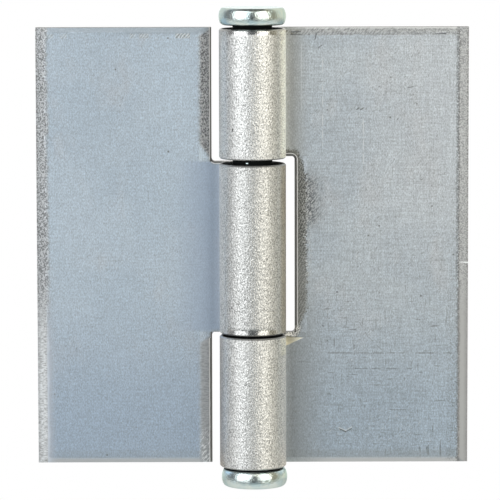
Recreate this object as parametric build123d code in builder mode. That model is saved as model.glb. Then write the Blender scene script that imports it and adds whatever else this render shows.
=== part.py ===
from build123d import *
from math import asin, degrees
import os

# Plate and pin
plate_thickness = 3.0
pin_diameter = 9.0
bore_clearance = 0.08  # radial, between the pin and a rolled knuckle

# Leaves: the pin axis is Z, the leaves lie behind it and are centred on Z = 0
leaf_height = 100.0
leaf_reach = 49.3  # from the pin axis to the outer edge of a leaf
seam_gap = 0.25  # between the end of a roll and the leaf that it comes back to
notch_clearance = 2.05  # from the middle knuckle to the notch in the frame leaf
cutout_clearance = 1.75  # from an outer knuckle to the cut-out in the door leaf
corner_radius = 0.8  # inside corners of the notch and the cut-outs
edge_break = 0.3  # broken edges round the back of a leaf and the rims of its knuckles

# Knuckles along the pin: the frame leaf has the lower and the upper one, the door leaf the middle one
lower_knuckle = 30.1
lower_gap = 0.6
upper_gap = 1.2
upper_knuckle = 29.4
tab_gap = 0.15  # under the door leaf's tab, where it isn't faced back for the lower gap
facing_clearance = 0.3  # radial, round the part of the tab that is faced back

# Shallow bevels ground along the edges of the front faces
outer_bevel_width = 2.1
outer_bevel_depth = 0.3
inner_bevel_width = 2.8
inner_bevel_depth = 0.3
end_bevel_width = 1.1
end_bevel_depth = 0.2
front_edge_break = 0.35  # of the sharp edge that a bevel leaves on the notch and the cut-outs

# Ground facet on the frame leaf, from the seam of the lower knuckle to a point past the notch's corner
facet_depth = 1.2  # into the plate, at the seam
facet_top = 0.55  # below the notch, at the seam
facet_bottom = 5.0  # below the notch, at the seam
facet_point_run = 2.1  # past the edge of the notch
facet_point_fall = 1.25  # below the notch

# Rivet heads: each is flat at its end and bulges between its two faces
head_bulge = 0.95  # radial
upper_head_overhang = 3.15  # beyond the shank
upper_head_height = 3.9
upper_head_gap = 0.85  # to the upper knuckle
lower_head_overhang = 3.0
lower_head_height = 4.0
lower_head_gap = 0.45  # to the lower knuckle
lower_head_offset = 0.32  # the closed head sits off the pin axis, towards the frame leaf

cut_margin = 1.0  # cutters reach this far past the metal

# Radii and heights that follow from the sizes above
pin_radius = pin_diameter / 2
bore_radius = pin_radius + bore_clearance
knuckle_radius = bore_radius + plate_thickness
leaf_top = leaf_height / 2
leaf_bottom = -leaf_top
notch_bottom = leaf_bottom + lower_knuckle
notch_top = leaf_top - upper_knuckle
tab_bottom = notch_bottom + tab_gap
tab_top = notch_top - upper_gap
middle_knuckle_bottom = notch_bottom + lower_gap
notch_edge = knuckle_radius + notch_clearance
cutout_edge = knuckle_radius + cutout_clearance
curl_angle = 270 + degrees(asin((bore_radius - seam_gap) / knuckle_radius))

# Profiles of the bevels: distance in from the edge and depth below the face, from the face outwards
outer_bevel = ((outer_bevel_width, 0), (0, outer_bevel_depth))
end_bevel = ((end_bevel_width, 0), (0, end_bevel_depth))
inner_bevel = (
    (inner_bevel_width, 0),
    (front_edge_break, inner_bevel_depth),
    (0, inner_bevel_depth + front_edge_break),
)

# Section of a leaf across the pin: a plate tangent to the back of the knuckle, rolled round to meet itself
with BuildSketch() as rolled_section:
    with BuildLine():
        back = Line((leaf_reach, knuckle_radius), (0, knuckle_radius))
        outside = CenterArc((0, 0), knuckle_radius, 90, curl_angle)
        inside = CenterArc((0, 0), bore_radius, 90, curl_angle)
        Line(outside @ 1, inside @ 1)
        front = Line(inside @ 0, (leaf_reach, bore_radius))
        Line(front @ 1, back @ 0)
    make_face()


def cut_opening(inner, edge, low, high):
    """Cuts a leaf away between two heights, from past its inner end to edge, with round inside corners."""
    corners = ((inner, high), (edge, high), (edge, low), (inner, low))
    with BuildSketch(Plane.XZ) as opening:
        with BuildLine():
            sides = FilletPolyline(*corners, radius=corner_radius)
            Line(sides @ 1, sides @ 0)
        make_face()
    extrude(opening.sketch, amount=knuckle_radius + cut_margin, both=True, mode=Mode.SUBTRACT)


def break_edges(leaf):
    """Chamfers the outline of a leaf's back face and the outer rims of its knuckles."""
    back_face = leaf.faces().filter_by(Axis.Y).sort_by(Axis.Y)[-1]
    outline = back_face.edges().filter_by(lambda edge: abs(edge.center().X) > edge_break)
    circles = leaf.edges().filter_by(GeomType.CIRCLE)
    rims = circles.filter_by(lambda edge: abs(edge.radius - knuckle_radius) < bore_clearance)
    chamfer(outline + rims, length=edge_break)


def bevel(start, end, inward, profile):
    """Grinds a bevel along an edge of a leaf's front face."""
    edge = Edge.make_line(start, end)
    outward_normal = Vector(0, -1, 0)
    slope = [(distance, -depth) for distance, depth in profile]
    width, depth = profile[0][0], profile[-1][1]
    past = [(-cut_margin, -depth), (-cut_margin, cut_margin), (width, cut_margin)]
    with BuildSketch(Plane(edge @ 0.5, inward, Vector(inward).cross(outward_normal))) as waste:
        with BuildLine():
            Polyline(*slope, *past, close=True)
        make_face()
    extrude(waste.sketch, amount=edge.length / 2, both=True, mode=Mode.SUBTRACT)


# Frame leaf: a plate with a notch, rolled into the upper and lower knuckles
with BuildPart() as frame_leaf:
    with BuildSketch(Plane.XY.offset(leaf_bottom)):
        add(rolled_section.sketch)
    extrude(amount=leaf_height)
    cut_opening(-knuckle_radius - cut_margin, notch_edge, notch_bottom, notch_top)
    break_edges(frame_leaf)
    outer_top = (leaf_reach, bore_radius, leaf_top)
    outer_bottom = (leaf_reach, bore_radius, leaf_bottom)
    notch_low = (notch_edge, bore_radius, notch_bottom)
    notch_high = (notch_edge, bore_radius, notch_top)
    bevel(outer_top, outer_bottom, (-1, 0, 0), outer_bevel)
    bevel(notch_low, notch_high, (1, 0, 0), inner_bevel)
    bevel(outer_top, (knuckle_radius, bore_radius, leaf_top), (0, 0, -1), end_bevel)
    bevel(outer_bottom, (knuckle_radius, bore_radius, leaf_bottom), (0, 0, 1), end_bevel)
    bevel(notch_high, (knuckle_radius, bore_radius, notch_top), (0, 0, 1), end_bevel)
    bevel(notch_low, (knuckle_radius, bore_radius, notch_bottom), (0, 0, -1), end_bevel)
    with BuildSketch(Plane.YZ.offset(bore_radius)) as facet_base:
        with BuildLine():
            facet_front = bore_radius - seam_gap / 2
            Polyline(
                (facet_front, notch_bottom - facet_bottom),
                (bore_radius + facet_depth, notch_bottom - facet_top),
                (facet_front, notch_bottom - facet_top),
                close=True,
            )
        make_face()
    facet_point = Vertex(notch_edge + facet_point_run, bore_radius, notch_bottom - facet_point_fall)
    loft([facet_base.sketch.face(), facet_point], ruled=True, mode=Mode.SUBTRACT)
frame_leaf.part.label = "frame_leaf"

# Door leaf: the same plate the other way round, cut away above and below the tab that is rolled
with BuildPart() as door_leaf:
    with BuildSketch(Plane.XY.offset(leaf_bottom)):
        mirror(rolled_section.sketch, about=Plane.YZ)
    extrude(amount=leaf_height)
    past_knuckle = knuckle_radius + cut_margin
    cut_opening(past_knuckle, -cutout_edge, leaf_bottom - cutout_edge, tab_bottom)
    cut_opening(past_knuckle, -cutout_edge, tab_top, leaf_top + cutout_edge)
    with BuildSketch(Plane.XY.offset(tab_bottom)):
        Circle(knuckle_radius + facing_clearance)
    extrude(amount=middle_knuckle_bottom - tab_bottom, mode=Mode.SUBTRACT)
    break_edges(door_leaf)
    outer_top = (-leaf_reach, bore_radius, leaf_top)
    outer_bottom = (-leaf_reach, bore_radius, leaf_bottom)
    cutout_top = (-cutout_edge, bore_radius, leaf_top)
    cutout_bottom = (-cutout_edge, bore_radius, leaf_bottom)
    bevel(outer_top, outer_bottom, (1, 0, 0), outer_bevel)
    bevel(cutout_top, (-cutout_edge, bore_radius, tab_top), (-1, 0, 0), inner_bevel)
    bevel(cutout_bottom, (-cutout_edge, bore_radius, tab_bottom), (-1, 0, 0), inner_bevel)
    bevel(outer_top, cutout_top, (0, 0, -1), end_bevel)
    bevel(outer_bottom, cutout_bottom, (0, 0, 1), end_bevel)
door_leaf.part.label = "door_leaf"


def rivet_head(centre, overhang, face, end):
    """Adds a head of the pin between its face next to the leaves and its end, with a bulging side."""
    rim = pin_radius + overhang - head_bulge
    with BuildSketch(Plane((centre, 0, 0), (1, 0, 0), (0, -1, 0))) as half_head:
        with BuildLine():
            middle = (rim, (face + end) / 2)
            side = EllipticalCenterArc(middle, head_bulge, abs(end - face) / 2, -90, arc_size=180)
            Polyline(side @ 1, (0, (side @ 1).Y), (0, (side @ 0).Y), side @ 0)
        make_face()
    revolve(half_head.sketch, axis=Axis((centre, 0, 0), (0, 0, 1)))


# Pin: a shank with a head upset at the top and one closed over at the bottom
upper_face = leaf_top + upper_head_gap
lower_face = leaf_bottom - lower_head_gap
with BuildPart() as hinge_pin:
    with BuildSketch(Plane.XY.offset(lower_face)):
        Circle(pin_radius)
    extrude(amount=upper_face - lower_face)
    rivet_head(0, upper_head_overhang, upper_face, upper_face + upper_head_height)
    rivet_head(lower_head_offset, lower_head_overhang, lower_face, lower_face - lower_head_height)
hinge_pin.part.label = "hinge_pin"

os.makedirs("parts", exist_ok=True)
for piece in (frame_leaf, door_leaf, hinge_pin):
    export_step(piece.part, f"parts/{piece.part.label}.step")
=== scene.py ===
import math

import bpy
from mathutils import Matrix, Vector


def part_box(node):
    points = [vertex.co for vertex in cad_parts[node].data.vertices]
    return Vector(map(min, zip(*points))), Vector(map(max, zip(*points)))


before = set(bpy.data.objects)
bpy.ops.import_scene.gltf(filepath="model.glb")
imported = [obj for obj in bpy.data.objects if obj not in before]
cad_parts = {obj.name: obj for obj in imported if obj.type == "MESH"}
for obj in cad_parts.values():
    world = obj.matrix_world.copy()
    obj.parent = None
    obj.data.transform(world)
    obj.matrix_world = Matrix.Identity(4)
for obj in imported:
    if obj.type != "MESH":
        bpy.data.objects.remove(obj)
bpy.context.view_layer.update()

MM = 0.001

# Camera of the photograph, fitted to the hinge's corners and edges; angles in degrees, distance in metres
IMAGE_PX = 500
FOCAL_PX = 3794.0
CAMERA_DISTANCE = 0.863
CAMERA_ELEVATION = 6.39
CAMERA_AZIMUTH = -0.27
CAMERA_ROLL = -0.12
CAMERA_TARGET = Vector((-0.62, 0.0, -0.39)) * MM
SENSOR_MM = 36.0

# Two softboxes, in metres and degrees, that stand at one height and face the hinge
SOFTBOX_DISTANCE = 1.2
SOFTBOX_ELEVATION = 20.0
SOFTBOX_HEIGHT = 1.4

# Floor: sizes in metres, and its finish
FLOOR_DROP = 0.25
FLOOR_HALF_WIDTH = 1.2
FLOOR_FRONT = -0.2
FLOOR_BACK = 1.0
FLOOR_TONE = (0.8, 0.8, 0.8)
FLOOR_ROUGHNESS = 0.9
FLOOR_GLOW = 0.2

# Colours of the studio; a pair is its left and its right
ROOM_TONES = (0.31, 0.31, 0.315), (0.40, 0.375, 0.285)
REAR_TONES = (0.93, 0.95, 0.94), (1.05, 1.02, 0.86)
FRONT_TONE = (0.13, 0.14, 0.145)
CEILING_TONE = (0.06, 0.065, 0.07)
GROUND_TONE = (0.80, 0.87, 0.87)
SWEEP_TONE = (1.35, 1.35, 1.35)
BACKDROP_TONE = (1.0, 1.0, 1.0)

# Sizes of the hinge, in millimetres
PLATE_THICKNESS = 3.0
NOTCH_CLEARANCE = 2.05
CUTOUT_CLEARANCE = 1.75
CORNER_RADIUS = 0.8
LOWER_KNUCKLE = 30.1
UPPER_KNUCKLE = 29.4
LOWER_GAP = 0.6
UPPER_GAP = 1.2
TAB_GAP = 0.15
HEAD_GAP = 0.85
OUTER_BEVEL = 2.1
END_BEVEL = 1.1
RIM_BREAK = 0.3

# Places that the wear follows, in millimetres, worked out from the frame leaf's box
leaf_low, leaf_high = (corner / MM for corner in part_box("frame_leaf"))
REACH, KNUCKLE_RADIUS, TOP = leaf_high
BOTTOM = leaf_low.z
PLATE_FRONT = KNUCKLE_RADIUS - PLATE_THICKNESS
NOTCH_EDGE = KNUCKLE_RADIUS + NOTCH_CLEARANCE
CUTOUT_EDGE = KNUCKLE_RADIUS + CUTOUT_CLEARANCE
NOTCH_TOP = TOP - UPPER_KNUCKLE
NOTCH_BOTTOM = BOTTOM + LOWER_KNUCKLE
TAB_TOP = NOTCH_TOP - UPPER_GAP
TAB_BOTTOM = NOTCH_BOTTOM + TAB_GAP
MIDDLE_KNUCKLE_BOTTOM = NOTCH_BOTTOM + LOWER_GAP

# Marks on the leaves: colours of dark and light ones, and the width of a scratch in millimetres
DARK_MARK = (0.14, 0.15, 0.155)
LIGHT_MARK = (0.88, 0.90, 0.92)
DARK_SCRATCH = (0.13, 0.14, 0.15)
LIGHT_SCRATCH = (0.80, 0.83, 0.86)
SCRATCH_WIDTH = 0.18

# Scratches of the frame leaf: two ends, each as distance from the pin and height, and strength
DARK_SCRATCHES = (
    ((16.9, -24.7), (46.5, -24.8), 0.5),
    ((23.5, -28.3), (36.4, -28.4), 0.45),
    ((24.5, -17.7), (26.3, -20.9), 0.4),
    ((26.3, -20.9), (30.0, -24.4), 0.4),
    ((19.9, -42.3), (21.3, -43.0), 0.8),
    ((21.3, -43.0), (22.6, -42.3), 0.8),
    ((8.0, 48.9), (11.0, 49.0), 0.9),
    ((8.0, 48.4), (13.0, 48.3), 0.6),
    ((14.6, 48.6), (14.3, 47.3), 0.8),
    ((41.4, 48.4), (44.0, 48.5), 0.9),
    ((48.0, 48.0), (49.0, 46.4), 0.8),
    ((48.1, 47.0), (48.8, 46.0), 0.6),
    ((15.9, -18.3), (16.2, -18.5), 0.9),
    ((42.1, 25.7), (42.3, 25.7), 0.7),
    ((22.7, 31.2), (23.3, 31.6), 0.8),
    ((23.7, 31.2), (24.3, 31.6), 0.8),
    ((24.7, 31.2), (25.3, 31.6), 0.8),
    ((25.8, 31.3), (26.2, 31.8), 0.7),
    ((28.8, 36.4), (29.9, 36.9), 0.7),
    ((35.6, 36.2), (36.9, 36.5), 0.7),
    ((36.6, 34.7), (36.8, 34.5), 0.8),
    ((37.3, 32.7), (37.5, 32.4), 0.8),
    ((17.3, 32.6), (17.7, 32.3), 0.6),
    ((18.4, 32.2), (18.8, 31.8), 0.6),
    ((33.7, 30.0), (35.2, 30.3), 0.6),
    ((15.0, 45.3), (15.8, 45.9), 0.6),
)
LIGHT_SCRATCHES = (
    ((16.0, 43.1), (16.0, 23.0), 0.9),
    ((11.2, 46.0), (11.2, 31.0), 0.6),
    ((25.3, 28.9), (25.3, 18.9), 0.9),
    ((19.7, -42.0), (21.3, -42.7), 0.8),
    ((21.3, -42.7), (22.7, -41.9), 0.8),
    ((47.4, -3.8), (49.3, -3.9), 1.0),
)

# Speck on the upper knuckle: distance across from the pin axis, and height
SPECK_ACROSS = -4.5
SPECK_HEIGHT = 27.5

# Scuffs under the top edge of the door leaf: distance from the pin, half of the length, and strength
SCUFFS = (
    (46.2, 0.9, 0.4),
    (42.9, 0.6, 0.4),
    (27.2, 0.5, 0.5),
    (24.6, 0.9, 0.5),
    (15.8, 1.5, 0.9),
)

# Zinc of the pin: its two tones, the tint of its shine, least and most roughness, and height of its grain
ZINC_TONES = (0.52, 0.62, 0.635), (0.62, 0.68, 0.655)
ZINC_TINT = (0.74, 0.82, 0.80)
ZINC_ROUGHNESS = 0.05, 0.13
ZINC_GRAIN_DEPTH = 0.07


class Nodes:
    """Adds nodes to one node tree; values go in as numbers, colours or sockets."""

    def __init__(self, tree):
        self.tree = tree

    def feed(self, socket, value):
        if isinstance(value, bpy.types.NodeSocket):
            self.tree.links.new(value, socket)
        elif isinstance(value, tuple) and len(socket.default_value) == 4:
            socket.default_value = (*value, 1)
        else:
            socket.default_value = value

    def node(self, kind, **settings):
        made = self.tree.nodes.new("ShaderNode" + kind)
        for name, value in settings.items():
            setattr(made, name, value)
        return made

    def parts(self, vector):
        made = self.node("SeparateXYZ")
        self.feed(made.inputs[0], vector)
        return made.outputs

    def scaled(self, vector, factor):
        """A vector or a colour times a factor."""
        made = self.node("VectorMath", operation="SCALE")
        self.feed(made.inputs["Vector"], vector)
        self.feed(made.inputs["Scale"], factor)
        return made.outputs[0]

    def math(self, operation, *values):
        made = self.node("Math", operation=operation)
        for socket, value in zip(made.inputs, values):
            self.feed(socket, value)
        return made.outputs[0]

    def plus(self, one, other):
        return self.math("ADD", one, other)

    def minus(self, one, other):
        return self.math("SUBTRACT", one, other)

    def diagonal(self, one, other):
        """Length over two distances at right angles."""
        squares = self.plus(self.math("POWER", one, 2.0), self.math("POWER", other, 2.0))
        return self.math("SQRT", squares)

    def both(self, *masks):
        """The product, which for masks is where all of them are 1."""
        product = masks[0]
        for mask in masks[1:]:
            product = self.math("MULTIPLY", product, mask)
        return product

    def either(self, *masks):
        largest = masks[0]
        for mask in masks[1:]:
            largest = self.math("MAXIMUM", largest, mask)
        return largest

    def outside(self, mask):
        return self.minus(1.0, mask)

    def step(self, value, start, end):
        """A soft step, from 0 at start to 1 at end."""
        made = self.node("MapRange", interpolation_type="SMOOTHSTEP")
        for socket, number in zip(made.inputs, (value, start, end, 0.0, 1.0)):
            self.feed(socket, number)
        return made.outputs[0]

    def span(self, value, low, high, soft):
        """1 between low and high, fading to 0 over the soft distance."""
        return self.both(self.step(value, low - soft, low), self.step(value, high + soft, high))

    def mix(self, factor, one, other):
        """One colour where the factor is 0, and the other where it is 1."""
        made = self.node("Mix", data_type="RGBA")
        self.feed(made.inputs[0], factor)
        self.feed(made.inputs[6], one)
        self.feed(made.inputs[7], other)
        return made.outputs[2]

    def blend(self, factor, one, other):
        """The same as mix, for plain numbers."""
        made = self.node("Mix")
        self.feed(made.inputs[0], factor)
        self.feed(made.inputs[2], one)
        self.feed(made.inputs[3], other)
        return made.outputs[0]


class Surface(Nodes):
    """The nodes of one material, with the place in millimetres and the facing of each point."""

    noise_range = 0.25, 0.75  # where nearly all values of a noise lie
    core = 0.4  # part of a speck's or a scratch's radius that has its full strength
    # A dull black greasy film that also paints the shade in the joints, where the parts shade each other
    grease_and_shade_tone = (0.012, 0.014, 0.014)
    grease_and_shade_roughness = 0.9
    specular_level = 0.1

    def __init__(self, name):
        self.material = bpy.data.materials.new(name)
        self.material.use_nodes = True
        super().__init__(self.material.node_tree)
        coordinates = self.node("TexCoord")
        self.at = self.scaled(coordinates.outputs["Object"], 1 / MM)
        self.x, self.y, self.z = self.parts(self.at)
        self.face_x, self.face_y, self.face_z = self.parts(coordinates.outputs["Normal"])
        self.radius = self.diagonal(self.x, self.y)

    def noise(self, size, squeeze=(1.0, 1.0, 1.0), detail=2.0, sharp=0.55, turn=0.0):
        """Noise between 0 and 1 with grains of about the given size.

        Squeeze makes the grains finer along an axis, and turn tilts them, in degrees about Y.
        """
        mapping = self.node("Mapping", vector_type="TEXTURE")
        self.feed(mapping.inputs["Vector"], self.at)
        mapping.inputs["Scale"].default_value = [1 / factor for factor in squeeze]
        mapping.inputs["Rotation"].default_value = (0.0, math.radians(turn), 0.0)
        made = self.node("TexNoise")
        self.feed(made.inputs["Vector"], mapping.outputs[0])
        made.inputs["Scale"].default_value = 1 / size
        made.inputs["Detail"].default_value = detail
        made.inputs["Roughness"].default_value = sharp
        return made.outputs[0]

    def spread(self, noise, low, high):
        """Noise drawn out between two numbers."""
        made = self.node("MapRange")
        for socket, number in zip(made.inputs, (noise, *self.noise_range, low, high)):
            self.feed(socket, number)
        return made.outputs[0]

    def specks(self, size, share, density):
        """Round specks in some of the cells of the given size; share is the speck's part of its cell."""
        made = self.node("TexVoronoi")
        self.feed(made.inputs["Vector"], self.at)
        made.inputs["Scale"].default_value = 1 / size
        lot = self.node("SeparateColor")
        self.feed(lot.inputs[0], made.outputs["Color"])
        chosen = self.step(lot.outputs[0], density, density - 0.02)
        return self.both(chosen, self.step(made.outputs["Distance"], share, share * self.core))

    def bump(self, height, depth, before=None):
        """Normal of a height between 0 and 1 that is depth millimetres high, on top of the one before."""
        made = self.node("Bump")
        made.inputs["Strength"].default_value = 1.0
        made.inputs["Distance"].default_value = depth * MM
        self.feed(made.inputs["Height"], height)
        if before is not None:
            self.feed(made.inputs["Normal"], before)
        return made.outputs[0]

    def metal(self, colour, grease_and_shade, roughness, normal):
        """Bare metal, with a dull black greasy film that also paints shade, where that mask is 1."""
        inputs = self.tree.nodes["Principled BSDF"].inputs
        inputs["Specular IOR Level"].default_value = self.specular_level
        self.feed(inputs["Metallic"], self.outside(grease_and_shade))
        self.feed(inputs["Base Color"], self.mix(grease_and_shade, colour, self.grease_and_shade_tone))
        self.feed(inputs["Roughness"], self.blend(grease_and_shade, roughness, self.grease_and_shade_roughness))
        self.feed(inputs["Normal"], normal)
        return self.material


class LeafSteel(Surface):
    """Raw rolled steel of a leaf, worn along its edges: what the two leaves have in common.

    Each leaf adds its side of the pin, its tones and strengths, and the wear of its own edges.
    """

    plate_roughness = 0.40
    knuckle_roughness = 0.43
    coarse_roughness = 0.52
    burnished_roughness = 0.21
    leather_depth = 0.115
    mill_depth = 0.008
    smear_tone = (0.38, 0.41, 0.42)
    chip_tone = (0.16, 0.16, 0.16)
    # Edges of the openings: painted shade on the edge and its chamfer, and a burnished line with a painted
    # highlight beside it
    painted_edge_shade = (0.19, 0.19, 0.188)
    burnish_and_highlight = (0.92, 0.91, 0.90)
    edge_line_width = 0.14
    painted_chamfer_shade_tone = (0.26, 0.26, 0.26)
    sheared_tones = (0.16, 0.16, 0.16), (0.34, 0.335, 0.33)
    # Painted shade on the knuckles' rims, where the gaps between the parts lie in shade
    painted_rim_shade_tone = (0.36, 0.36, 0.355)

    def __init__(self, name):
        """Places and textures that the layers share.

        Out is the distance from the pin, low the lower half, grain a fine speckle, ragged a slow wander
        of borders, and mill, threads, weft, patches and hatching are textures of the rolled plate.
        Coarse collects the masks of what reflects less sharply.
        """
        super().__init__(name)
        self.out = self.both(self.x, self.side)
        self.towards_pin = self.both(self.face_x, -self.side)
        self.barrel = self.step(self.radius, KNUCKLE_RADIUS + 1.1, KNUCKLE_RADIUS + 0.1)
        self.flat = self.outside(self.barrel)
        self.low = self.step(self.z, 0.0, -20.0)
        self.grain = self.noise(0.30, sharp=0.6)
        self.ragged = self.spread(self.noise(1.3, detail=3.0, sharp=0.65), -0.7, 0.7)
        self.mill = self.noise(0.21, squeeze=(1.1, 1.0, 0.46), detail=1.0)
        self.threads = self.noise(0.8, squeeze=(2.6, 1.0, 0.16), sharp=0.6)
        self.weft = self.noise(0.8, squeeze=(0.16, 1.0, 2.6), sharp=0.6)
        self.patches = self.noise(8.0, squeeze=(1.0, 1.0, 0.6))
        self.hatching = self.noise(0.46, squeeze=(0.45, 1.0, 1.6), detail=1.0, turn=-52.0)
        self.coarse = []

    def speckled(self, dark, light, grain=None, contrast=0.12):
        """Two colours in a grain; a small contrast gives hard specks."""
        if grain is None:
            grain = self.grain
        return self.mix(self.step(grain, 0.5 - contrast, 0.5 + contrast), dark, light)

    def frayed(self, distance, amount):
        """A distance that wanders to and fro, for borders that were not drawn with a ruler."""
        return self.plus(distance, self.both(self.ragged, amount))

    def opening(self, edge, low, high):
        """Distance from an opening that reaches from the pin out to edge, with round corners."""
        middle = (low + high) / 2
        half = (high - low) / 2
        past_edge = self.math("MAXIMUM", self.minus(self.out, edge - CORNER_RADIUS), 0.0)
        height = self.math("ABSOLUTE", self.minus(self.z, middle))
        past_end = self.math("MAXIMUM", self.minus(height, half - CORNER_RADIUS), 0.0)
        return self.minus(self.diagonal(past_edge, past_end), CORNER_RADIUS)

    def stroke(self, start, end, width):
        """A thin line on the leaf between two points, each given as out and z."""
        run = end[0] - start[0]
        rise = end[1] - start[1]
        across = self.minus(self.out, start[0])
        up = self.minus(self.z, start[1])
        along = self.plus(self.both(across, run), self.both(up, rise))
        share = self.math("DIVIDE", along, run * run + rise * rise)
        share = self.math("MINIMUM", self.math("MAXIMUM", share, 0.0), 1.0)
        aside = self.minus(across, self.both(share, run))
        above = self.minus(up, self.both(share, rise))
        return self.step(self.diagonal(aside, above), width, width * self.core)

    def strokes(self, spacing, lean):
        """Uneven slanting strokes, between 0 and 1; lean is the angle from upright, in degrees."""
        across = math.cos(math.radians(lean))
        up = math.sin(math.radians(lean))
        aside = self.minus(self.both(self.x, across), self.both(self.z, up))
        turns = self.both(self.frayed(aside, 0.3), 2 * math.pi / spacing)
        return self.math("MULTIPLY_ADD", self.math("SINE", turns), 0.5, 0.5)

    def skin(self):
        """Blue-grey mill skin with soft clouds, painted light and painted shade, fine threads, dark specks
        and scores.
        """
        clouds = self.step(self.noise(16.0, detail=3.0), 0.38, 0.62)
        skin = self.mix(clouds, *self.cloud_tones)
        # Painted light on one part of the plate and painted shade on another, as the lamps fall on it
        skin = self.mix(self.painted_light_part(), skin, self.painted_light_tone)
        warmer = self.both(self.step(self.patches, 0.55, 0.75), 0.5)
        skin = self.mix(warmer, skin, self.warm_tone)
        # Painted shade, cooler and darker towards the bottom
        skin = self.mix(self.step(self.z, -6.0, -44.0), skin, self.painted_low_shade_tone)
        skin = self.scaled(skin, self.blend(self.painted_shade_part(), 1.0, 0.95))
        textures = (self.mill, self.mottle), (self.threads, self.weave), (self.weft, self.weave)
        for texture, contrast in textures:
            skin = self.scaled(skin, self.spread(texture, 1.0 - contrast, 1.0 + contrast))
        small_pits = self.specks(size=2.4, share=0.13, density=0.16 * self.pitting)
        large_pits = self.specks(size=5.5, share=0.07, density=0.2 * self.pitting)
        pits = self.both(self.either(small_pits, large_pits), 0.8)
        scores = self.either(self.step(self.threads, 0.63, 0.72), self.step(self.weft, 0.63, 0.72))
        scores = self.both(scores, self.blend(self.low, *self.scoring))
        skin = self.mix(self.either(pits, scores), skin, DARK_MARK)
        ticked = self.both(self.step(self.patches, 0.48, 0.58), self.ticking)
        light_ticks = self.both(self.step(self.hatching, 0.64, 0.72), ticked)
        dark_ticks = self.both(self.step(self.hatching, 0.36, 0.28), ticked)
        skin = self.mix(light_ticks, skin, LIGHT_MARK)
        return self.mix(dark_ticks, skin, DARK_MARK)

    def end_edges(self, colour):
        """Top edge roughened and dull; along the bottom edge, a painted reflection of the floor."""
        down = self.frayed(self.minus(TOP, self.z), 0.3)
        colour = self.top_edge(colour, down)
        smeared = self.both(self.span(self.z, BOTTOM + 1.5, BOTTOM + 2.2, 1.2), self.smearing)
        colour = self.mix(smeared, colour, self.smear_tone)
        # Painted reflection of the floor on the bottom edge
        return self.mix(self.step(self.z, BOTTOM + 1.5, BOTTOM + 0.5), colour, self.painted_floor_reflection_tone)

    def chipped(self, colour, inward):
        """Small dark chips along the outer edge, which is coarse as far as its bevel goes."""
        self.coarse.append(self.step(inward, OUTER_BEVEL + 0.8, OUTER_BEVEL))
        chips = self.both(self.step(inward, 0.55, 0.25), self.step(self.grain, 0.60, 0.45))
        return self.mix(self.both(chips, self.blend(self.low, 0.6, 0.3)), colour, self.chip_tone)

    def edge_lines(self, colour, inward, band, dark_width, line_start):
        """The broken edge of an opening, with painted shade on it, and a burnished line with a painted
        highlight beside it.
        """
        inward = self.frayed(inward, 0.06)
        dark = self.both(self.step(inward, dark_width + 0.06, dark_width), self.flat)
        colour = self.mix(dark, colour, self.painted_edge_shade)
        line = self.span(inward, line_start, line_start + self.edge_line_width, 0.05)
        colour = self.mix(self.both(line, self.flat, 0.95), colour, self.burnish_and_highlight)
        # Painted shade on the chamfer that faces the pin
        broken = self.both(self.step(self.towards_pin, 0.45, 0.6), self.flat)
        self.coarse.append(band)
        self.coarse.append(broken)
        return self.mix(broken, colour, self.painted_chamfer_shade_tone)

    def sheared(self, colour):
        """Edge faces of the plate, as the shears left them."""
        mask = self.both(self.step(self.math("ABSOLUTE", self.face_y), 0.45, 0.25), self.flat)
        self.coarse.append(mask)
        return self.mix(mask, colour, self.speckled(*self.sheared_tones))

    def knuckles(self, colour):
        """Leathery silver skin, with painted light and shade on its two sides and its rims, and a black
        greasy film with painted shade in the joints.
        """
        frosted = self.noise(0.26, squeeze=(1.15, 1.0, 0.75), detail=1.0)
        pitted = self.math("MINIMUM", self.spread(frosted, 0.38, 1.58), 1.28)
        # The two sides get tones of painted light and shade, as the lamps on the left and right fall on them
        left_side = self.step(self.face_x, -0.78, -0.95)
        right_side = self.step(self.face_x, 0.76, 0.92)
        left_tone, right_tone = self.knuckle_sides()
        silver = self.mix(right_side, self.mix(left_side, self.silver_tone, left_tone), right_tone)
        colour = self.mix(self.barrel, colour, self.scaled(silver, pitted))
        level = self.math("ABSOLUTE", self.face_z)
        # Painted shade on the rims and end faces of the knuckles
        colour = self.mix(self.both(self.step(level, 0.3, 0.6), self.barrel), colour, self.painted_rim_shade_tone)
        rim = KNUCKLE_RADIUS - RIM_BREAK
        inside_rim = self.step(self.radius, rim - 0.08, rim - 0.58)
        # Painted shade, with a greasy film, on the knuckles' end faces inside the rim, where the heads and
        # knuckles shade each other
        self.grease_and_shade = self.both(self.step(level, 0.8, 0.95), inside_rim)
        self.coarse.append(self.grease_and_shade)
        return colour

    def build(self):
        """The layers of the leaf's front over its plain skin, then its finish."""
        plain = self.skin()
        colour = plain
        front = self.end_edges, self.by_the_barrel, self.outer_edge, self.opening_edges, self.scratches
        for wear in front:
            colour = wear(colour)
        back = self.step(self.face_y, 0.5, 0.8)
        colour = self.mix(back, colour, plain)
        colour = self.knuckles(self.sheared(colour))
        off_the_sides = self.step(self.math("ABSOLUTE", self.face_x), 0.85, 0.65)
        burnished = self.burnished_end(self.frayed(self.z, 0.3))
        burnished = self.both(burnished, self.barrel, off_the_sides)
        coarse = self.both(self.either(*self.coarse), self.outside(back))
        roughness = self.blend(self.barrel, self.plate_roughness, self.knuckle_roughness)
        roughness = self.blend(coarse, roughness, self.coarse_roughness)
        roughness = self.blend(burnished, roughness, self.burnished_roughness)
        leather = self.noise(0.34, squeeze=(1.1, 1.0, 0.65), detail=1.0)
        leather = self.both(leather, self.barrel, self.blend(burnished, 1.0, 0.15))
        normal = self.bump(leather, self.leather_depth)
        normal = self.bump(self.both(self.flat, self.mill), self.mill_depth, normal)
        return self.metal(colour, self.grease_and_shade, roughness, normal)


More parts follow.
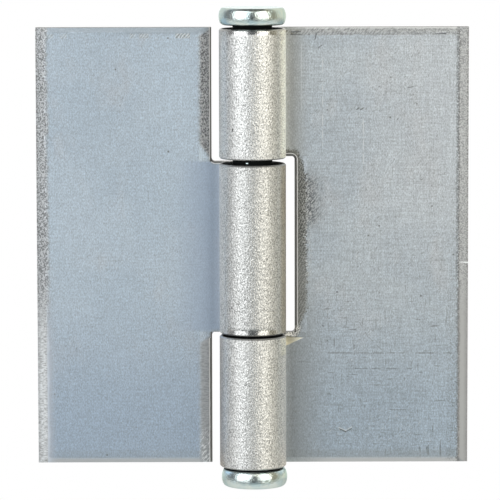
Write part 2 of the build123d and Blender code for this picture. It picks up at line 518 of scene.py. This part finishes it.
class FrameLeafSteel(LeafSteel):
    """The leaf on the right, with the notch and the upper and lower knuckles."""

    side = 1.0

    # Skin: tones of the clouds, of painted light, of warmer patches and of painted shade, then strengths of
    # textures and marks
    cloud_tones = (0.59, 0.645, 0.70), (0.63, 0.68, 0.725)
    painted_light_tone = (0.70, 0.73, 0.765)
    warm_tone = (0.66, 0.675, 0.70)
    painted_low_shade_tone = (0.53, 0.615, 0.705)
    mottle = 0.28
    weave = 0.13
    pitting = 1.0
    scoring = 0.35, 0.7  # above and below
    ticking = 0.5
    smearing = 0.35

    # Ends: a pair is on the bevel and below it
    top_dark_tones = (0.29, 0.30, 0.305), (0.40, 0.41, 0.425)
    top_light_tones = (0.52, 0.535, 0.545), (0.68, 0.70, 0.72)
    top_crease_tone = (0.12, 0.12, 0.12)
    # Painted highlight along the top edge
    painted_top_highlight_tone = (0.75, 0.76, 0.76)
    # Painted reflection of the floor along the bottom edge
    painted_floor_reflection_tone = (0.61, 0.60, 0.60)

    # Outer edge: a pair is dark and light
    bevel_upper_tones = (0.26, 0.267, 0.275), (0.475, 0.485, 0.50)
    bevel_lower_tones = (0.34, 0.342, 0.348), (0.39, 0.395, 0.40)
    bevel_crease_tone = (0.12, 0.12, 0.118)
    bevel_grit_tone = (0.16, 0.165, 0.165)

    # Notch: a pair is dark and light
    band_width = 1.5
    band_fuller_by = 1.25
    band_tapers_by = 1.8
    band_tones = (0.07, 0.07, 0.065), (0.39, 0.393, 0.37)
    band_pale_tone = (0.36, 0.363, 0.35)
    fleck_tones = (0.13, 0.135, 0.14), (0.60, 0.60, 0.60)
    tick_tone = (0.85, 0.85, 0.84)
    torn_tones = (0.20, 0.205, 0.21), (0.92, 0.91, 0.87)
    # Fresh ground metal with a painted warm highlight, on the facet below the notch
    ground_and_highlight_facet_tone = (0.66, 0.64, 0.53)

    # Barrel: a pair is above and below
    dull_tones = (0.51, 0.52, 0.515), (0.40, 0.42, 0.43)
    stain_tone = (0.19, 0.185, 0.14)
    silver_tone = (0.60, 0.60, 0.59)
    # Sides of the knuckles: painted shade with a tarnish tint on the left, and a painted highlight on the
    # right
    tarnish_and_shade_tones = (0.53, 0.50, 0.46), (0.45, 0.41, 0.37)
    painted_highlight_side_tones = (0.87, 0.835, 0.73), (0.705, 0.677, 0.646)
    # Fresh ground metal with a painted warm highlight, beside the facet on the knuckle
    ground_and_highlight_beside_facet_tone = (0.86, 0.82, 0.68)
    speck_tone = (0.06, 0.06, 0.06)

    def painted_light_part(self):
        """The upper outer part, which gets painted light."""
        return self.both(self.step(self.out, 14.0, 42.0), self.step(self.z, -16.0, 18.0), 0.7)

    def painted_shade_part(self):
        """The lower part, apart from a strip along the outer edge, which gets painted shade."""
        return self.both(self.step(self.out, 42.0, 34.0), self.step(self.z, -15.0, -35.0))

    def scratches(self, colour):
        """The longer scratches, each broken here and there."""
        broken = self.step(self.noise(2.2, detail=3.0), 0.36, 0.56)
        for marks, tone in ((DARK_SCRATCHES, DARK_SCRATCH), (LIGHT_SCRATCHES, LIGHT_SCRATCH)):
            for start, end, strength in marks:
                line = self.both(self.stroke(start, end, SCRATCH_WIDTH), broken, self.flat, strength)
                colour = self.mix(line, colour, tone)
        return colour

    def outer_edge(self, colour):
        """Ground bevel, rough above and smooth below, with a dark crease where it meets the face."""
        inward = self.frayed(self.minus(REACH, self.out), 0.25)
        upper = self.speckled(*self.bevel_upper_tones)
        lower = self.mix(self.span(inward, 1.1, 1.6, 0.6), *self.bevel_lower_tones)
        bevel = self.step(inward, OUTER_BEVEL + 0.5, OUTER_BEVEL)
        colour = self.mix(bevel, colour, self.mix(self.low, upper, lower))
        past_bevel = self.plus(inward, self.both(self.low, 0.15))
        crease = self.span(past_bevel, OUTER_BEVEL + 0.1, OUTER_BEVEL + 0.5, 0.4)
        crease = self.both(crease, self.step(self.grain, 0.66, 0.46), self.blend(self.low, 0.65, 0.5))
        colour = self.mix(crease, colour, self.bevel_crease_tone)
        grit = self.span(inward, OUTER_BEVEL + 0.4, OUTER_BEVEL + 2.1, 1.2)
        grit = self.both(grit, self.low, self.step(self.grain, 0.50, 0.40))
        colour = self.mix(self.both(grit, 0.35), colour, self.bevel_grit_tone)
        return self.chipped(colour, inward)

    def top_edge(self, colour, down):
        """Hatched strip along the top, with a painted highlight along its edge and a crease under it."""
        below_bevel = self.step(down, END_BEVEL - 0.2, END_BEVEL + 0.2)
        dark = self.mix(below_bevel, *self.top_dark_tones)
        light = self.mix(below_bevel, *self.top_light_tones)
        coarser = self.step(self.out, 24.0, 38.0)
        hatched = self.step(self.blend(coarser, self.hatching, self.grain), 0.40, 0.60)
        strip = self.step(down, END_BEVEL + 0.85, END_BEVEL + 0.45)
        colour = self.mix(strip, colour, self.mix(hatched, dark, light))
        crease = self.span(down, END_BEVEL + 0.4, END_BEVEL + 0.6, 0.15)
        crease = self.both(crease, self.step(self.patches, 0.46, 0.56), 0.3)
        colour = self.mix(crease, colour, self.top_crease_tone)
        # Painted highlight along the very top edge
        return self.mix(self.both(self.step(down, 0.45, 0.2), 0.7), colour, self.painted_top_highlight_tone)

    def opening_edges(self, colour):
        """The notch: flecks beside its upper half, a hatched dark band and a torn lower corner."""
        inward = self.opening(NOTCH_EDGE, NOTCH_BOTTOM, NOTCH_TOP)
        feathered = self.frayed(inward, 0.8)
        flecks = self.blend(0.45, self.hatching, self.grain)
        past_band = self.past_notch_band(feathered)
        band = self.step(past_band, 0.4, -0.3)
        colour = self.flecked_beside_notch(colour, feathered, flecks)
        colour = self.mix(self.both(band, 0.95), colour, self.notch_hatching())
        ticks = self.both(self.span(past_band, -0.1, 1.0, 0.6), self.span(self.z, -5.0, 10.0, 4.0))
        ticks = self.both(ticks, self.step(flecks, 0.50, 0.60), 0.45)
        colour = self.mix(ticks, colour, self.tick_tone)
        colour = self.edge_lines(colour, inward, band, dark_width=0.50, line_start=0.56)
        return self.torn_corner(colour, inward)

    def past_notch_band(self, feathered):
        """Distance past the notch's band, which widens below the top corner and tapers out at the bottom."""
        fuller = self.step(self.z, NOTCH_TOP, 15.0)
        tapering = self.step(self.z, -13.5, NOTCH_BOTTOM)
        width = self.plus(self.band_width, self.both(fuller, self.band_fuller_by))
        width = self.minus(width, self.both(tapering, self.band_tapers_by))
        return self.plus(self.minus(feathered, width), self.spread(self.grain, -0.5, 0.5))

    def notch_hatching(self):
        """Dark slanting hatching, a little paler in the lower half."""
        clearness = self.blend(self.low, 0.1, 0.22)
        drawn = self.blend(clearness, self.grain, self.strokes(spacing=0.55, lean=25.0))
        hatched = self.mix(self.step(drawn, 0.34, 0.68), *self.band_tones)
        paler = self.both(self.step(self.z, 2.0, -6.0), 0.35)
        return self.mix(paler, hatched, self.band_pale_tone)

    def flecked_beside_notch(self, colour, feathered, flecks):
        """Dark and light flecks on the face, past the band."""
        beside = self.both(self.span(self.z, 7.0, 14.0, 4.5), self.step(feathered, 7.8, 3.2), 0.85)
        flecked = self.mix(self.step(flecks, 0.44, 0.57), *self.fleck_tones)
        return self.mix(beside, colour, flecked)

    def torn_corner(self, colour, inward):
        """Torn metal at the lower corner of the notch."""
        corner = self.span(self.z, NOTCH_BOTTOM - 0.6, NOTCH_BOTTOM + 1.2, 0.6)
        outermost = self.step(self.out, NOTCH_EDGE - 2.4, NOTCH_EDGE - 1.4)
        corner = self.both(corner, outermost, self.step(inward, 1.6, 0.9), self.flat, 0.9)
        torn = self.mix(self.step(self.grain, 0.42, 0.54), *self.torn_tones)
        return self.mix(corner, colour, torn)

    def by_the_barrel(self, colour):
        """Duller metal where the leaf runs up to the knuckles, and stains at two corners."""
        dull = self.both(self.step(self.out, self.blend(self.low, 13.5, 19.0), 9.0), 0.75)
        tone = self.mix(self.low, *self.dull_tones)
        colour = self.mix(dull, colour, self.scaled(tone, self.spread(self.mill, 0.8, 1.2)))
        stain = self.span(self.z, NOTCH_TOP, NOTCH_TOP + 1.0, 0.7)
        stain = self.both(stain, self.step(self.out, 10.6, 9.4))
        smear = self.span(self.z, TOP - 1.5, TOP - 0.8, 0.4)
        smear = self.both(smear, self.step(self.out, 12.5, 9.0), self.step(self.hatching, 0.56, 0.44))
        return self.mix(self.both(self.either(stain, smear), 0.75), colour, self.stain_tone)

    def sheared(self, colour):
        """The edge faces of any leaf, and on the facet below the notch, fresh ground metal with a painted
        warm highlight.
        """
        colour = super().sheared(colour)
        below_face = self.step(self.y, PLATE_FRONT, PLATE_FRONT + 0.05)
        tilted = self.both(self.span(self.face_z, 0.22, 0.34, 0.03), below_face, self.flat)
        return self.mix(tilted, colour, self.ground_and_highlight_facet_tone)

    def knuckle_sides(self):
        """Painted shade with a tarnish tint on the left, a painted highlight on the right, and beside the
        facet, ground metal with a painted warm highlight.
        """
        left_shade = self.mix(self.low, *self.tarnish_and_shade_tones)
        right_highlight = self.mix(self.low, *self.painted_highlight_side_tones)
        beside_facet = self.span(self.z, NOTCH_BOTTOM - 4.0, NOTCH_BOTTOM - 0.3, 0.5)
        right_highlight = self.mix(self.both(beside_facet, 0.6), right_highlight, self.ground_and_highlight_beside_facet_tone)
        return left_shade, right_highlight

    def knuckles(self, colour):
        """The knuckles of any leaf, with a dark speck on the upper one."""
        colour = super().knuckles(colour)
        across = self.span(self.x, SPECK_ACROSS - 0.05, SPECK_ACROSS + 0.05, 0.2)
        along = self.span(self.z, SPECK_HEIGHT - 0.2, SPECK_HEIGHT + 0.2, 0.25)
        speck = self.both(across, along, self.step(self.face_y, 0.0, -0.2), 0.9)
        return self.mix(speck, colour, self.speck_tone)

    def burnished_end(self, height):
        """The upper end of the upper knuckle."""
        return self.step(height, TOP - 1.5, TOP - 0.9)


class DoorLeafSteel(LeafSteel):
    """The leaf on the left, with a cut-out above and below the tab of the middle knuckle."""

    side = -1.0

    # Skin: tones of the clouds, of painted light, of warmer patches and of painted shade, then strengths of
    # textures and marks
    cloud_tones = (0.59, 0.68, 0.775), (0.625, 0.71, 0.80)
    painted_light_tone = (0.65, 0.745, 0.84)
    warm_tone = (0.65, 0.69, 0.745)
    painted_low_shade_tone = (0.50, 0.595, 0.715)
    mottle = 0.24
    weave = 0.06
    pitting = 0.3
    scoring = 0.2, 0.2  # above and below
    ticking = 0.3
    smearing = 0.2

    # Ends: a pair is dark and light
    top_tones = (0.38, 0.435, 0.49), (0.445, 0.50, 0.555)
    scuff_tones = (0.30, 0.33, 0.35), (0.95, 0.97, 0.98)
    # Painted reflection of the floor along the bottom edge
    painted_floor_reflection_tone = (0.55, 0.555, 0.57)

    # Outer edge: the combed pair is dark and light, the other pairs are on the bevel and past it
    bevel_dark_tones = (0.18, 0.185, 0.19), (0.27, 0.28, 0.295)
    bevel_light_tones = (0.47, 0.48, 0.495), (0.62, 0.65, 0.69)
    bevel_combed_tones = (0.38, 0.385, 0.39), (0.65, 0.665, 0.68)
    bevel_faded_tone = (0.63, 0.665, 0.735)

    # Cut-outs: widths are the usual and the narrow one, and a pair of tones is dark and light
    band_widths = 2.65, 0.25
    band_gritty_tones = (0.11, 0.11, 0.115), (0.52, 0.525, 0.535)
    band_combed_tones = (0.33, 0.345, 0.36), (0.48, 0.495, 0.515)
    tick_tone = (0.80, 0.82, 0.84)

    # Barrel
    # Painted shade that the barrel casts on the tab
    painted_barrel_shade_tone = (0.46, 0.555, 0.71)
    silver_tone = (0.55, 0.55, 0.54)
    # Sides of the knuckles: painted shade with a tarnish tint on the left, and a darker, browner painted
    # shade on the right
    tarnish_and_shade_tone = (0.52, 0.48, 0.43)
    brown_and_shade_tone = (0.43, 0.385, 0.31)

    def painted_light_part(self):
        """The upper part next to the pin, which gets painted light."""
        return self.both(self.step(self.out, 32.0, 14.0), self.step(self.z, -5.0, 30.0), 0.6)

    def painted_shade_part(self):
        """The upper outer part, which gets painted shade."""
        return self.both(self.step(self.out, 14.0, 30.0), self.step(self.z, 0.0, 30.0))

    def scratches(self, colour):
        """Hatched scuffs under the top edge."""
        under_edge = self.span(self.z, TOP - 2.3, TOP - 1.5, 0.3)
        hatched = self.mix(self.strokes(spacing=0.55, lean=42.0), *self.scuff_tones)
        for middle, half, strength in SCUFFS:
            along = self.span(self.out, middle - half, middle + half, 0.3)
            scuffed = self.both(along, under_edge, strength, self.step(self.grain, 0.36, 0.5))
            colour = self.mix(scuffed, colour, hatched)
        return colour

    def outer_edge(self, colour):
        """Ground bevel: gritty above, combed bright below, where it fades into the face."""
        square_in = self.minus(REACH, self.out)
        inward = self.frayed(square_in, 0.6)
        past_bevel = self.step(inward, OUTER_BEVEL - 0.3, OUTER_BEVEL + 0.2)
        dark = self.mix(past_bevel, *self.bevel_dark_tones)
        light = self.mix(past_bevel, *self.bevel_light_tones)
        upper = self.speckled(dark, light, self.blend(0.4, self.grain, self.mill), contrast=0.04)
        combed = self.noise(0.36, squeeze=(0.48, 1.0, 1.5), sharp=0.6)
        lower = self.mix(self.step(combed, 0.37, 0.59), *self.bevel_combed_tones)
        lower = self.scaled(lower, self.blend(self.span(inward, 1.1, 1.4, 0.7), 0.87, 1.0))
        on_face = self.step(square_in, OUTER_BEVEL - 0.1, OUTER_BEVEL + 0.2)
        lower = self.mix(on_face, lower, self.bevel_faded_tone)
        smoother = self.step(self.z, -4.0, -28.0)
        upper_border = self.step(inward, OUTER_BEVEL + 1.0, OUTER_BEVEL + 0.2)
        lower_border = self.step(inward, OUTER_BEVEL + 2.6, OUTER_BEVEL - 0.5)
        border = self.blend(smoother, upper_border, lower_border)
        colour = self.mix(border, colour, self.mix(smoother, upper, lower))
        return self.chipped(colour, inward)

    def top_edge(self, colour, down):
        """Dull strip along the top, wider towards the pin."""
        wide = self.step(down, END_BEVEL + 0.8, END_BEVEL - 0.3)
        tight = self.step(down, END_BEVEL + 0.15, END_BEVEL - 0.15)
        strip = self.blend(self.step(self.out, 26.0, 36.0), wide, tight)
        return self.mix(strip, colour, self.speckled(*self.top_tones))

    def opening_edges(self, colour):
        """The cut-outs above and below the tab: a gritty grey band along each."""
        above = self.opening(CUTOUT_EDGE, TAB_TOP, 2 * TOP)
        below = self.opening(CUTOUT_EDGE, 2 * BOTTOM, TAB_BOTTOM)
        inward = self.math("MINIMUM", above, below)
        past_band = self.minus(self.frayed(inward, 0.35), self.cutout_band_width())
        band = self.step(past_band, 0.8, -0.5)
        gritty = self.blend(0.5, self.grain, self.mill)
        upper = self.speckled(*self.band_gritty_tones, gritty, contrast=0.10)
        combed = self.noise(0.45, squeeze=(0.5, 1.0, 1.7), sharp=0.6)
        lower = self.mix(self.step(combed, 0.34, 0.66), *self.band_combed_tones)
        ticks = self.both(self.step(self.z, -40.0, -45.0), self.step(self.hatching, 0.50, 0.62), 0.8)
        lower = self.mix(ticks, lower, self.tick_tone)
        colour = self.mix(self.both(band, 0.95), colour, self.mix(self.low, upper, lower))
        near_tab = self.both(self.step(self.z, TAB_BOTTOM - 1.6, TAB_BOTTOM - 0.8), self.low)
        inward = self.plus(self.minus(inward, self.both(self.low, 0.2)), near_tab)
        return self.edge_lines(colour, inward, band, dark_width=0.27, line_start=0.34)

    def cutout_band_width(self):
        """Width of the band along the cut-outs, narrow next to the tab and at the top corner."""
        over_tab = self.both(self.step(self.z, TAB_TOP + 5.0, TAB_TOP), self.step(self.z, -1.0, 1.0))
        under_tab = self.step(self.z, TAB_BOTTOM - 3.0, TAB_BOTTOM - 0.6)
        under_tab = self.both(under_tab, self.step(self.z, 1.0, -1.0))
        corner = self.step(self.z, TOP - 2.2, TOP - 0.2)
        return self.blend(self.either(over_tab, under_tab, corner), *self.band_widths)

    def by_the_barrel(self, colour):
        """Painted blue shade, as the barrel casts it, where the tab runs up to the middle knuckle."""
        shade = self.both(self.step(self.out, 20.0, 9.5), self.span(self.z, -19.0, 19.0, 1.0), 0.6)
        return self.mix(shade, colour, self.painted_barrel_shade_tone)

    def knuckle_sides(self):
        """Painted shade with a tarnish tint on the left, and a darker, browner painted shade on the right.
        """
        return self.tarnish_and_shade_tone, self.brown_and_shade_tone

    def burnished_end(self, height):
        """The lower end of the middle knuckle."""
        return self.step(height, MIDDLE_KNUCKLE_BOTTOM + 1.9, MIDDLE_KNUCKLE_BOTTOM + 1.2)


def pin_zinc():
    """Bright zinc plating with a faint blue-green cast; between the heads, a black greasy film that paints
    the shade on the shank.

    One spot of the shank in the gap above the middle knuckle is left without the painted shade, so the bare
    zinc's reflection shows there.
    """
    zinc = Surface("pin_zinc")
    film = zinc.step(zinc.noise(2.5, detail=3.0), 0.35, 0.65)
    colour = zinc.mix(film, *ZINC_TONES)
    height = zinc.math("ABSOLUTE", zinc.z)
    between = zinc.step(height, TOP + HEAD_GAP + 0.35, TOP + HEAD_GAP + 0.15)
    # A spot without the painted shade, where the bare zinc reflects the lamps
    unshaded_spot = zinc.both(
        zinc.span(zinc.x, -1.4, -1.1, 0.2),
        zinc.span(zinc.z, TAB_TOP + 0.3, TAB_TOP + 0.4, 0.15),
    )
    # Painted shade, with a greasy film, on the shank between the heads, apart from the unshaded spot
    grease_and_shade = zinc.both(between, zinc.step(zinc.radius, 6.9, 6.5), zinc.outside(unshaded_spot))
    grain = zinc.noise(0.34, sharp=0.6)
    inputs = zinc.tree.nodes["Principled BSDF"].inputs
    zinc.feed(inputs["Specular Tint"], ZINC_TINT)
    roughness = zinc.blend(grain, *ZINC_ROUGHNESS)
    return zinc.metal(colour, grease_and_shade, roughness, zinc.bump(grain, ZINC_GRAIN_DEPTH))


def dress(node, material):
    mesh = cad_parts[node].data
    mesh.materials.clear()
    mesh.materials.append(material)


def direction(azimuth, elevation):
    """From the hinge outwards, in degrees; azimuth 0 is in front of it, positive to the right."""
    a = math.radians(azimuth)
    e = math.radians(elevation)
    return Vector((math.sin(a) * math.cos(e), -math.cos(a) * math.cos(e), math.sin(e)))


def make_camera():
    data = bpy.data.cameras.new("camera")
    data.sensor_width = SENSOR_MM
    data.lens = SENSOR_MM * FOCAL_PX / IMAGE_PX
    camera = bpy.data.objects.new("camera", data)
    bpy.context.scene.collection.objects.link(camera)
    back = direction(CAMERA_AZIMUTH, CAMERA_ELEVATION)
    place = Matrix.Translation(CAMERA_TARGET + back * CAMERA_DISTANCE)
    turn = (-back).to_track_quat("-Z", "Y").to_matrix().to_4x4()
    roll = Matrix.Rotation(math.radians(CAMERA_ROLL), 4, "Z")
    camera.matrix_world = place @ turn @ roll
    bpy.context.scene.camera = camera


def softbox(name, azimuth, width, power, colour):
    """A rectangular area light that faces the hinge."""
    data = bpy.data.lights.new(name, "AREA")
    data.shape = "RECTANGLE"
    data.size = width
    data.size_y = SOFTBOX_HEIGHT
    data.energy = power
    data.color = colour
    light = bpy.data.objects.new(name, data)
    bpy.context.scene.collection.objects.link(light)
    out = direction(azimuth, SOFTBOX_ELEVATION)
    light.location = out * SOFTBOX_DISTANCE
    light.rotation_mode = "QUATERNION"
    light.rotation_quaternion = (-out).to_track_quat("-Z", "Y")
    light.visible_camera = False


def make_world():
    """A grey studio, cool on the left and warm on the right, with a white sweep behind the hinge."""
    world = bpy.data.worlds.new("studio")
    bpy.context.scene.world = world
    world.use_nodes = True
    world.node_tree.nodes.clear()
    studio = Nodes(world.node_tree)
    across, away, up = studio.parts(studio.node("TexCoord").outputs["Generated"])
    rightwards = studio.step(across, -0.7, 0.7)
    room = studio.mix(rightwards, *ROOM_TONES)
    rear = studio.mix(rightwards, *REAR_TONES)
    behind = studio.math("MULTIPLY_ADD", across, 0.2, away)
    room = studio.mix(studio.step(behind, 0.12, 0.45), room, rear)
    dark_front = studio.step(away, -0.70, -0.96)
    room = studio.mix(dark_front, room, FRONT_TONE)
    dark_ceiling = studio.step(up, 0.80, 0.93)
    room = studio.mix(dark_ceiling, room, CEILING_TONE)
    pale_ground = studio.step(up, -0.2, -0.6)
    room = studio.mix(pale_ground, room, GROUND_TONE)
    white_sweep = studio.step(away, 0.93, 0.985)
    room = studio.mix(white_sweep, room, SWEEP_TONE)
    backdrop = studio.node("LightPath").outputs["Is Camera Ray"]
    room = studio.mix(backdrop, room, BACKDROP_TONE)
    background = studio.node("Background")
    studio.feed(background.inputs["Color"], room)
    studio.feed(studio.node("OutputWorld").inputs["Surface"], background.outputs[0])


def make_floor():
    mesh = bpy.data.meshes.new("floor")
    corners = [
        (-FLOOR_HALF_WIDTH, FLOOR_FRONT, -FLOOR_DROP),
        (FLOOR_HALF_WIDTH, FLOOR_FRONT, -FLOOR_DROP),
        (FLOOR_HALF_WIDTH, FLOOR_BACK, -FLOOR_DROP),
        (-FLOOR_HALF_WIDTH, FLOOR_BACK, -FLOOR_DROP),
    ]
    mesh.from_pydata(corners, [], [(0, 1, 2, 3)])
    floor = bpy.data.objects.new("floor", mesh)
    bpy.context.scene.collection.objects.link(floor)
    material = bpy.data.materials.new("floor")
    material.use_nodes = True
    inputs = material.node_tree.nodes["Principled BSDF"].inputs
    inputs["Base Color"].default_value = (*FLOOR_TONE, 1)
    inputs["Roughness"].default_value = FLOOR_ROUGHNESS
    inputs["Emission Color"].default_value = (1, 1, 1, 1)
    inputs["Emission Strength"].default_value = FLOOR_GLOW
    mesh.materials.append(material)


make_camera()
make_world()
make_floor()
softbox("left_softbox", azimuth=-41, width=1.12, power=12.5, colour=(0.96, 0.985, 1.0))
softbox("right_softbox", azimuth=37, width=0.9, power=10.0, colour=(1.0, 0.97, 0.90))
dress("frame_leaf", FrameLeafSteel("frame_leaf_steel").build())
dress("door_leaf", DoorLeafSteel("door_leaf_steel").build())
dress("hinge_pin", pin_zinc())
bpy.context.scene.view_settings.view_transform = "Standard"
